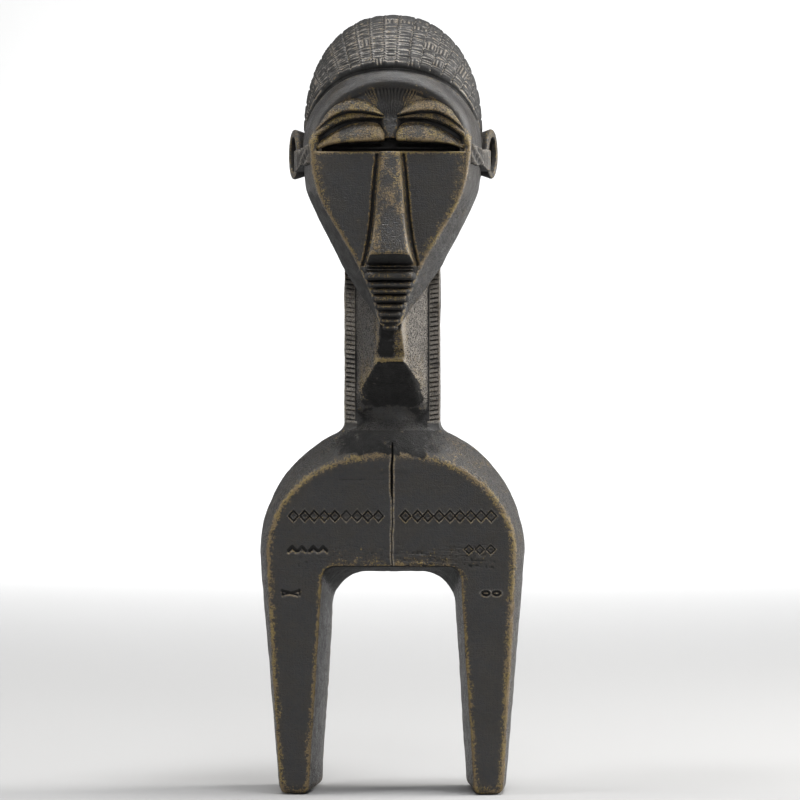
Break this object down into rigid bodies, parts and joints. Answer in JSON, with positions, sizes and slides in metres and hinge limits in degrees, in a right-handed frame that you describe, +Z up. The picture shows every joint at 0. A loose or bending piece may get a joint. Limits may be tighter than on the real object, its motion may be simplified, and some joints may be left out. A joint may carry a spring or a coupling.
{
  "type": "carved heddle pulley yoke",
  "caption": "Carved wooden loom-pulley yoke: a two-legged fork with a notched neck and a stylised head with a ribbed cap of hair and ring ears.",
  "frame": {"origin": "centre of the object's footprint box on the floor", "axes": "+Z up through the neck, the face and the fork's front look along -Y, +X is the viewer's right"},
  "size_m": [0.0682, 0.058, 0.2],
  "materials": {
    "patina": "satin charcoal patina on dense carved wood, fine grain and tool marks",
    "worn": "patina rubbed through to ochre-brown wood on ridges and edges",
    "hair": "dark patina over fine ribbed carving, ochre on the rib tops"
  },
  "bodies": {
    "root": {"shoulder_arch": "patina", "left_leg": "patina", "right_leg": "patina", "neck_post": "patina", "left_neck_comb": "patina", "right_neck_comb": "patina", "chin_strut": "worn", "head_core": "patina", "face_plate": "patina", "nose": "worn", "lips": "patina", "beard_ridges": "worn", "forehead": "patina", "forehead_band": "patina", "left_eyelid": "worn", "right_eyelid": "worn", "left_brow": "worn", "right_brow": "worn", "coiffure": "hair", "left_ear": "patina", "right_ear": "patina"}
  },
  "joints": []
}
